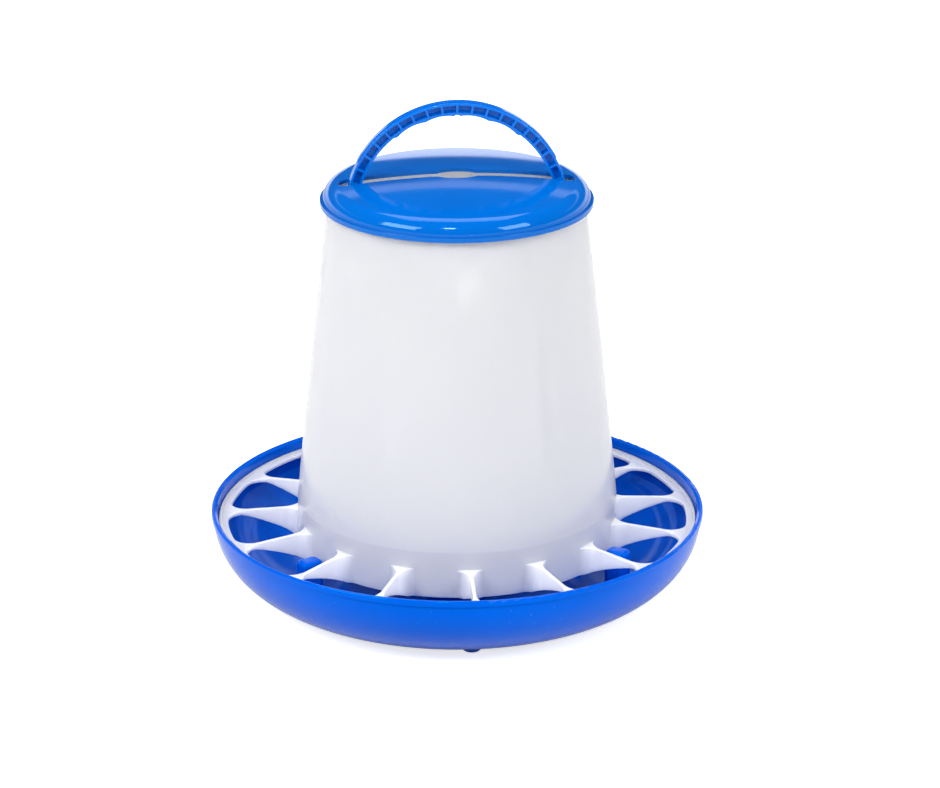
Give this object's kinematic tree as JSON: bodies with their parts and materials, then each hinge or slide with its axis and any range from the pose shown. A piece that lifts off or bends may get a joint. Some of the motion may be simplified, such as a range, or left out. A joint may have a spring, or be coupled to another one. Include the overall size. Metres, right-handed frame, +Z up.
{
  "type": "poultry feeder",
  "caption": "Standing hopper feeder for poultry: a round pan under a barred ring, a tapered feed hopper, a slotted lid and an arched carrying handle.",
  "frame": {"origin": "on the ground, in the middle of the round pan, level with the tips of its three feet", "axes": "+Z up along the feeder's axis, the handle's arch spans X, -Y is the side the picture shows, where one bar of the grill points"},
  "size_m": [0.34, 0.34, 0.3434],
  "materials": {
    "pan_plastic": "smooth moulded polypropylene, opaque blue",
    "hopper_plastic": "smooth moulded polypropylene, natural milky white, slightly see-through",
    "lid_plastic": "smooth moulded polypropylene, opaque blue",
    "handle_plastic": "smooth moulded polypropylene, opaque blue"
  },
  "bodies": {
    "root": {"pan": "pan_plastic", "hopper": "hopper_plastic", "lid": "lid_plastic", "handle": "handle_plastic"}
  },
  "joints": []
}
